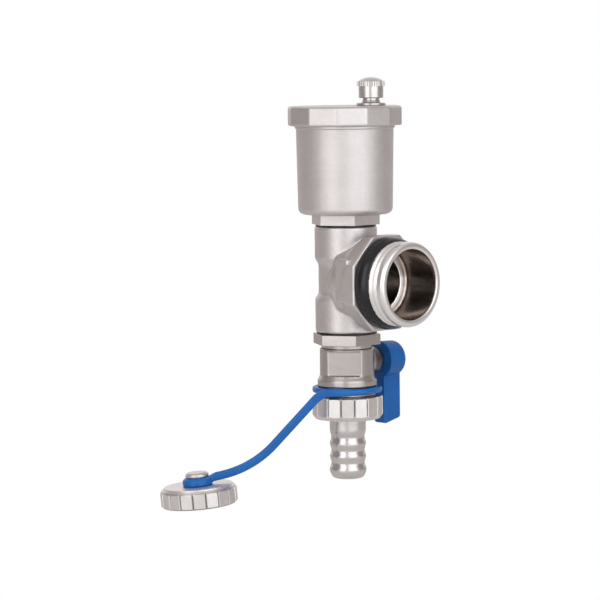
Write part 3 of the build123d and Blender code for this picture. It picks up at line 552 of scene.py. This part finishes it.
class DRAINVALVE_OT_turned(bpy.types.Operator):
    """Bright nickel on nut, nozzle and caps, and the hose tail with rounded barbs"""

    bl_idname = "drainvalve.turned"
    bl_label = "Turned pieces"

    def execute(self, context):
        size = context.scene.drainvalve_sizes
        nickel = context.scene.drainvalve_finish.turned_nickel
        dress(["union_nut"], turned_finish("turned_on_run", nickel, rough=0.31, centre_mm=RUN_MM,
                                           shaded_groove_mm=NUT_GROOVE_MM))
        dress(["vent_nozzle", "vent_cap"],
              turned_finish("turned_on_nozzle", shade(nickel, 0.84), rough=0.28, centre_mm=NOZZLE_MM))
        dress(["end_cap"], turned_finish("turned_on_cap", nickel, rough=0.36, centre_mm=CAP_MM,
                                         lean=CAP_TILT, shaded_groove_mm=CAP_GROOVE_MM))
        dress(["cap_rivet"], turned_finish("turned_rivet", shade(nickel, 0.9), rough=0.34,
                                           centre_mm=CAP_MM, lean=CAP_TILT))
        for name in ("union_nut", "end_cap", "cap_rivet", "vent_nozzle"):
            soften(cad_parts[name], size.edge_round_mm * TURNED_ROUND)
        make_hose_tail(size, turned_finish("turned_tail", shade(nickel, 0.87), rough=0.27,
                                           centre_mm=RUN_MM))
        return {"FINISHED"}


# Hose tail: radii, then heights along the run
TAIL_BORE_MM = 4.4
TAIL_LIP_MM = 5.3
TAIL_NOSE_MM = 6.3
TAIL_NECK_MM = 7.2
TAIL_FLANGE_MM = 9.9
TAIL_TOP_MM = -51.5
TAIL_SHOULDER_MM = -52.78
TAIL_NECK_END_MM = -60.4
TAIL_NOSE_START_MM = -76.6
TAIL_NOSE_END_MM = -78.6
TAIL_END_MM = -79.1
BARB_DEPTH_MM = 0.8
BARB_SPARE_MM = 0.12

# Each barb: height and rounding of the dip before it, and of its crest
BARBS_MM = ((-62.6, 1.1, -65.0, 1.2), (-68.1, 1.0, -70.05, 1.0), (-73.15, 1.0, -75.0, 0.8))


def make_hose_tail(size, material):
    """Hose tail: closed outline with rounded barbs, carried round the run axis. The crests stand a little
    higher than asked, which their rounding takes off again."""
    crest = size.barb_crest_mm
    outline = [(TAIL_BORE_MM, TAIL_TOP_MM, 0.1), (TAIL_FLANGE_MM, TAIL_TOP_MM, 0.1),
               (TAIL_FLANGE_MM, TAIL_SHOULDER_MM, 0.1), (TAIL_NECK_MM, TAIL_SHOULDER_MM, 0.1),
               (TAIL_NECK_MM, TAIL_NECK_END_MM, 1.1)]
    for dip, dip_round, peak, peak_round in BARBS_MM:
        outline += [(crest - BARB_DEPTH_MM, dip, dip_round), (crest + BARB_SPARE_MM, peak, peak_round)]
    outline += [(crest, TAIL_NOSE_START_MM, 0.9), (TAIL_NOSE_MM, TAIL_NOSE_END_MM, 0.8),
                (TAIL_LIP_MM, TAIL_END_MM, 0.4), (TAIL_BORE_MM, TAIL_END_MM, 0.3)]
    grid = turned(rounded(outline, steps=9), count=128) + RUN_MM
    add_piece("hose_tail_turned", [(grid, True)], material, "hose_tail_set", ["hose_tail"])


class DRAINVALVE_OT_seals(bpy.types.Operator):
    """Rubber on all seals, and the branch seal with its lip and rounded shoulders"""

    bl_idname = "drainvalve.seals"
    bl_label = "Seals"

    def execute(self, context):
        rubber = rubber_finish("seal_rubber", context.scene.drainvalve_finish.black_rubber, rough=0.25)
        dress(["vent_base_seal", "cover_seal", "vent_cap_seal", "arm_pad", "valve_seal", "stem_seal_inner",
               "stem_seal_outer", "tail_washer", "cap_washer"], rubber)
        make_branch_seal(context.scene.drainvalve_sizes, rubber)
        return {"FINISHED"}


# Branch seal: radius of its hole, its two faces along the branch, and the rounding of the hole's edges
SEAL_HOLE_MM = 14.22
SEAL_BACK_MM = -5.78
SEAL_FACE_MM = -0.02
SEAL_HOLE_ROUND_MM = 0.1

# Outside of the seal from its lip to its face: depth under the outer radius, place along, rounding
SEAL_OUTSIDE_MM = ((0.5, SEAL_BACK_MM, 0.4), (0.0, -5.2, 0.3), (0.0, -4.7, 0.2), (0.22, -4.5, 0.2),
                   (0.05, -4.2, 0.4), (0.1, -2.6, 0.8), (0.7, -1.1, 0.7), (1.6, SEAL_FACE_MM, 0.4))


def make_branch_seal(size, rubber):
    """Branch seal: closed outline with a lip at its back, carried round the branch axis, X."""
    outline = [(SEAL_HOLE_MM, SEAL_BACK_MM, SEAL_HOLE_ROUND_MM)]
    outline += [(size.seal_radius_mm - depth, along, soft) for depth, along, soft in SEAL_OUTSIDE_MM]
    outline.append((SEAL_HOLE_MM, SEAL_FACE_MM, SEAL_HOLE_ROUND_MM))
    ring = turned(rounded(outline), count=160)
    grid = np.stack([ring[:, :, 2], ring[:, :, 1], -ring[:, :, 0]], axis=2)
    add_piece("branch_seal_moulded", [(grid, True)], rubber, "fitting", ["branch_seal"])


class DRAINVALVE_OT_plastics(bpy.types.Operator):
    """Blue moulded lever and strap"""

    bl_idname = "drainvalve.plastics"
    bl_label = "Blue plastics"

    def execute(self, context):
        blue = context.scene.drainvalve_finish.blue_plastic
        dress(["lever"], moulded_finish("lever_plastic", blue, rough=0.46))
        mould(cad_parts["lever"], voxel_mm=0.24, rounds=9)
        strap_plastic = moulded_finish("strap_plastic", shade(blue, 1.06), rough=0.34)
        make_strap(context.scene.drainvalve_sizes, strap_plastic)
        return {"FINISHED"}


# Strap's middle line, as (along, height), and the radii of its two bends
STRAP_START_MM = -9.0
STRAP_LEVEL_MM = -43.4
STRAP_ROUTE_MM = ((STRAP_START_MM, STRAP_LEVEL_MM), (10.2, STRAP_LEVEL_MM), (37.45, -72.85),
                  (CAP_ALONG_MM, -77.9))
STRAP_BENDS_MM = (9.0, 40.0)

# Strap's section, and its root, which grows out of the ring
SECTION_POWER = 3.2
SECTION_POINTS = 32
ROOT_LENGTH_MM = 14.0
ROOT_SINK_MM = 0.35
ROOT_SCALE = 0.5

# Ring on the valve neck, and eye on the cap under the rivet's head
RING_HOLE_MM = 11.3
RING_LOW_MM = -44.6
RING_TOP_MM = -42.2
RING_ROUND_MM = 0.9
EYE_HOLE_MM = 2.05
EYE_OUTER_MM = 6.0
EYE_SHOULDER_MM = 2.3
EYE_TOP_R_MM = 4.6
EYE_TOP_MM = 3.25
CAP_GAP_MM = 0.05
CAP_FACE_R_MM = 15.2
RIVET_HEAD_R_MM = 4.7
BAND_RISE = 0.3
BAND_CURVE = 0.12


def bent_line(points, radii, steps=24, run_steps=12):
    """Straight runs joined by arcs, as points and tangents. From its first point each arc goes
    r sin a along the run before it and r (1 - cos a) to the inside of the bend."""
    p = np.asarray(points, float)
    places = [p[:1]]
    for k, radius in enumerate(radii, start=1):
        before = (p[k] - p[k - 1]) / np.linalg.norm(p[k] - p[k - 1])
        after = (p[k + 1] - p[k]) / np.linalg.norm(p[k + 1] - p[k])
        side = np.sign(before[0] * after[1] - before[1] * after[0])
        turn = math.acos(float(np.clip(before @ after, -1.0, 1.0)))
        first = p[k] - before * radius * math.tan(turn / 2)
        inward = side * np.array([-before[1], before[0]])
        a = np.linspace(0.0, turn, steps)[:, None]
        run = np.linspace(places[-1][-1], first, run_steps)[1:-1]
        arc = first + inward * radius * (1 - np.cos(a)) + before * radius * np.sin(a)
        places += [run, arc]
    places.append(np.linspace(places[-1][-1], p[-1], run_steps)[1:])
    line = np.concatenate(places)
    tangent = np.gradient(line, axis=0)
    return line, tangent / np.linalg.norm(tangent, axis=1, keepdims=True)


def strap_band(size):
    """Band of the strap: superellipse section |x/a|^n + |y/b|^n = 1 carried along the bent line. Behind
    the start of the tail the line follows the ring's circle, and there the section grows smoothly."""
    line, tangent = bent_line(STRAP_ROUTE_MM, STRAP_BENDS_MM)
    normal = np.stack([-tangent[:, 1], tangent[:, 0]], axis=1)
    a = np.linspace(0.0, 2.0 * np.pi, SECTION_POINTS, endpoint=False)
    power = 2.0 / SECTION_POWER
    across = np.sign(np.cos(a)) * np.abs(np.cos(a)) ** power * size.strap_depth_mm / 2
    height = np.sign(np.sin(a)) * np.abs(np.sin(a)) ** power * size.strap_width_mm / 2
    grown = np.clip((line[:, 0] - STRAP_START_MM) / ROOT_LENGTH_MM, 0.0, 1.0)
    grown = (grown ** 2 * (3.0 - 2.0 * grown))[:, None, None]
    scale = ROOT_SCALE + (1.0 - ROOT_SCALE) * grown
    behind = np.minimum(line[:, 0], 0.0)
    circle = np.sqrt((STRAP_FRONT_MM - ROOT_SINK_MM) ** 2 - behind ** 2)[:, None, None]
    flat = line[:, None, :] + normal[:, None, :] * height[None, :, None] * scale
    front = circle + ROOT_SINK_MM * grown + across[None, :, None] * scale
    return RUN_MM + flat[:, :, :1] * SIDE + flat[:, :, 1:] * UP + front * FRONT


def press_under_rivet(points):
    """Hold the band under the rivet's head and above the cap: its height over the cap is limited to
    the eye's top + 0.3 d + 0.12 d^2, d being the way past the head's edge, and to just above the face."""
    local = points - CAP_MM
    right = local @ CAP_RIGHT
    back = local @ CAP_BACK
    up = local @ CAP_UP
    reach = np.hypot(right, back)
    past = np.maximum(0.0, reach - RIVET_HEAD_R_MM)
    up = np.minimum(up, EYE_TOP_MM + BAND_RISE * past + BAND_CURVE * past ** 2)
    up = np.where(reach < CAP_FACE_R_MM, np.maximum(up, CAP_GAP_MM), up)
    return on_cap(np.stack([right, back, up], axis=-1))


def on_cap(local):
    """Points given as (right, back, up) from the middle of the cap's face, in the frame of the model."""
    return CAP_MM + local @ np.stack([CAP_RIGHT, CAP_BACK, CAP_UP])


def make_strap(size, material):
    """Strap: band, ring on the valve neck and eye on the cap, melted together."""
    ring_r = size.strap_ring_mm
    ring = [(RING_HOLE_MM, RING_LOW_MM, RING_ROUND_MM), (ring_r, RING_LOW_MM, RING_ROUND_MM),
            (ring_r, RING_TOP_MM, RING_ROUND_MM), (RING_HOLE_MM, RING_TOP_MM, RING_ROUND_MM)]
    eye = [(EYE_HOLE_MM, CAP_GAP_MM, 0.1), (EYE_OUTER_MM, CAP_GAP_MM, 0.5),
           (EYE_OUTER_MM, EYE_SHOULDER_MM, 0.8), (EYE_TOP_R_MM, EYE_TOP_MM, 0.5),
           (EYE_HOLE_MM, EYE_TOP_MM, 0.1)]
    shells = [(press_under_rivet(strap_band(size)), False),
              (turned(rounded(ring), count=128) + RUN_MM, True),
              (on_cap(turned(rounded(eye), count=64)), True)]
    strap = add_piece("cap_strap_moulded", shells, material, "strap", ["cap_strap"])
    mould(strap, voxel_mm=0.22, rounds=4)


class DRAINVALVE_OT_inside(bpy.types.Operator):
    """Finishes of the hidden working pieces"""

    bl_idname = "drainvalve.inside"
    bl_label = "Inner pieces"

    def execute(self, context):
        brass = plain_finish("bare_brass", (0.72, 0.58, 0.33), rough=0.28, metallic=1.0)
        steel = plain_finish("plain_steel", (0.58, 0.57, 0.56), rough=0.3, metallic=1.0)
        white = plain_finish("white_seat", (0.82, 0.82, 0.80), rough=0.45)
        dress(["ball", "stem", "float_arm"], brass)
        dress(["seat_upper", "seat_lower", "stem_washer"], white)
        dress(["float"], plain_finish("float_plastic", (0.74, 0.74, 0.70), rough=0.5))
        dress(["arm_pin", "lever_screw"], steel)
        return {"FINISHED"}


# Camera, fitted to the photograph; its target lies beside the run's middle by the slide
CAMERA_AZIMUTH = math.radians(46.2466)
CAMERA_ELEVATION = math.radians(5.2)
CAMERA_ROLL = math.radians(-0.677)
CAMERA_DISTANCE = 1.07479
CAMERA_LENS = 162.33
CAMERA_SENSOR = 36.0
CAMERA_SLIDE = (-0.0184586, -0.0077372)

# Soft boxes: name, degrees round from the camera, degrees up, distance, width, height, watts, tint
SOFT_BOXES = (
    ("soft_box_left", -35.5, 8.0, 0.95, 0.66, 1.4, 4.6, (0.955, 0.975, 1.0)),
    ("soft_box_right", 31.5, 8.0, 0.95, 1.14, 1.4, 7.35, (0.92, 0.97, 1.0)))
SOFT_BOX_CENTRE = RUN_MM * MM - 0.01 * UP

# Floor and room, as the metal sees them
FLOOR_Z = -0.16
FLOOR_RINGS = (0.02, 0.5, 2.0, 10.0, 60.0)
FLOOR_SIDES = 64
FLOOR_TONE = (0.8, 0.79, 0.78, 1.0)
ROOM_WALLS = (0.365, 0.322, 0.32)
ROOM_CEILING = (0.72, 0.68, 0.67)
ROOM_BACKDROP = (1.0, 0.97, 0.97)
ROOM_FADE = (0.35, 0.95)
WHITE = (1.0, 1.0, 1.0, 1.0)


class DRAINVALVE_OT_stage(bpy.types.Operator):
    """Floor, soft boxes, world and camera"""

    bl_idname = "drainvalve.stage"
    bl_label = "Stage"

    def execute(self, context):
        add_camera(context.scene)
        add_floor(context.scene)
        add_lamps(context.scene)
        add_world(context.scene)
        context.scene.view_settings.view_transform = "Standard"
        return {"FINISHED"}


def facing(azimuth, elevation):
    """Right, up and back directions of something that looks at the object from these angles."""
    level = math.cos(elevation)
    back = np.array([math.sin(azimuth) * level, -math.cos(azimuth) * level, math.sin(elevation)])
    right = np.array([math.cos(azimuth), math.sin(azimuth), 0.0])
    return right, np.cross(back, right), back


def placed(right, up, back, where):
    """Matrix of an object with these axes at a place."""
    matrix = np.eye(4)
    matrix[:3] = np.stack([right, up, back, where], axis=1)
    return Matrix(matrix.tolist())


def add_camera(scene):
    """Camera at the angle and distance of the photograph."""
    level, upright, back = facing(CAMERA_AZIMUTH, CAMERA_ELEVATION)
    right = math.cos(CAMERA_ROLL) * level + math.sin(CAMERA_ROLL) * upright
    up = math.cos(CAMERA_ROLL) * upright - math.sin(CAMERA_ROLL) * level
    target = RUN_MM * MM + CAMERA_SLIDE[0] * level + CAMERA_SLIDE[1] * UP
    data = bpy.data.cameras.new("camera")
    data.lens = CAMERA_LENS
    data.sensor_width = CAMERA_SENSOR
    data.clip_start = 0.01
    camera = bpy.data.objects.new("camera", data)
    scene.collection.objects.link(camera)
    camera.matrix_world = placed(right, up, back, target + back * CAMERA_DISTANCE)
    scene.camera = camera


def add_floor(scene):
    """Round floor, pale for the metal and white for the camera: a disc of rings about the middle."""
    angle = np.linspace(0.0, 2.0 * np.pi, FLOOR_SIDES, endpoint=False)[None, :]
    radius = np.array(FLOOR_RINGS)[:, None]
    level = np.full((len(FLOOR_RINGS), FLOOR_SIDES), FLOOR_Z)
    grid = np.stack([radius * np.cos(angle), radius * np.sin(angle), level], axis=2)
    faces = grid_faces(len(FLOOR_RINGS), FLOOR_SIDES, wrap_rows=False).tolist()
    faces.append(list(range(FLOOR_SIDES)))
    mesh = bpy.data.meshes.new("floor")
    mesh.from_pydata(grid.reshape(-1, 3).tolist(), [], faces)
    floor = bpy.data.objects.new("floor", mesh)
    scene.collection.objects.link(floor)
    mesh.materials.append(floor_finish("pale_floor"))


def floor_finish(name):
    """Pale matt floor, which glows white where the camera sees it."""
    finish = Finish(name)
    finish.set(Base_Color=FLOOR_TONE, Roughness=0.9)
    seen = finish.node("ShaderNodeLightPath", output="Is Camera Ray")
    glow = finish.node("ShaderNodeEmission", {}, {"Color": WHITE, "Strength": 1.0})
    lit = Value(finish, finish.shader.outputs[0])
    both = finish.node("ShaderNodeMixShader", {}, {0: seen, 1: lit, 2: glow})
    finish.feed(finish.tree.nodes["Material Output"].inputs["Surface"], both)
    return finish.material


def add_lamps(scene):
    """Two soft boxes, one on each side of the camera."""
    for name, turn, rise, distance, width, height, watts, tint in SOFT_BOXES:
        right, up, back = facing(CAMERA_AZIMUTH + math.radians(turn), math.radians(rise))
        data = bpy.data.lights.new(name, "AREA")
        data.shape = "RECTANGLE"
        data.size = width
        data.size_y = height
        data.energy = watts
        data.color = tint
        lamp = bpy.data.objects.new(name, data)
        lamp.visible_camera = False
        scene.collection.objects.link(lamp)
        lamp.matrix_world = placed(right, up, back, SOFT_BOX_CENTRE + back * distance)


def room_colour(nodes):
    """Warm grey room, paler overhead and towards the backdrop: a ramp upwards and one level ramp."""
    where = nodes.node("ShaderNodeTexCoord", output="Generated")
    overhead = nodes.ramp(nodes.axis(where, 2), *ROOM_FADE)
    backdrop = (-math.sin(CAMERA_AZIMUTH), math.cos(CAMERA_AZIMUTH), 0.0)
    away = nodes.ramp(nodes.dot(where, backdrop), *ROOM_FADE)
    return nodes.mix(away, nodes.mix(overhead, ROOM_WALLS, ROOM_CEILING), ROOM_BACKDROP)


def add_world(scene):
    """White behind the object for the camera, and a warm grey room for light and reflections."""
    world = bpy.data.worlds.new("studio")
    world.use_nodes = True
    nodes = Nodes(world.node_tree)
    seen = nodes.node("ShaderNodeLightPath", output="Is Camera Ray")
    ground = world.node_tree.nodes["Background"]
    nodes.feed(ground.inputs["Color"], nodes.mix(seen, room_colour(nodes), WHITE))
    nodes.feed(ground.inputs["Strength"], 1.0)
    scene.world = world


class DRAINVALVE_PT_panel(bpy.types.Panel):
    """Sidebar list of the steps"""

    bl_label = "Drain valve"
    bl_idname = "DRAINVALVE_PT_panel"
    bl_space_type = "VIEW_3D"
    bl_region_type = "UI"
    bl_category = "Drain valve"

    def draw(self, context):
        for step in STEPS:
            self.layout.operator("drainvalve." + step)


STEPS = ("castings", "turned", "seals", "plastics", "inside", "stage")
CLASSES = (DrainValveSizes, DrainValveFinish, DRAINVALVE_OT_castings, DRAINVALVE_OT_turned,
           DRAINVALVE_OT_seals, DRAINVALVE_OT_plastics, DRAINVALVE_OT_inside, DRAINVALVE_OT_stage,
           DRAINVALVE_PT_panel)


def register():
    """Register the classes and hang the settings on the scene."""
    for cls in CLASSES:
        bpy.utils.register_class(cls)
    bpy.types.Scene.drainvalve_sizes = bpy.props.PointerProperty(type=DrainValveSizes)
    bpy.types.Scene.drainvalve_finish = bpy.props.PointerProperty(type=DrainValveFinish)


def unregister():
    """Take the settings and classes away again."""
    del bpy.types.Scene.drainvalve_finish
    del bpy.types.Scene.drainvalve_sizes
    for cls in reversed(CLASSES):
        bpy.utils.unregister_class(cls)


def main():
    """Run every step in order."""
    register()
    for step in STEPS:
        getattr(bpy.ops.drainvalve, step)()


if __name__ == "__main__":
    main()
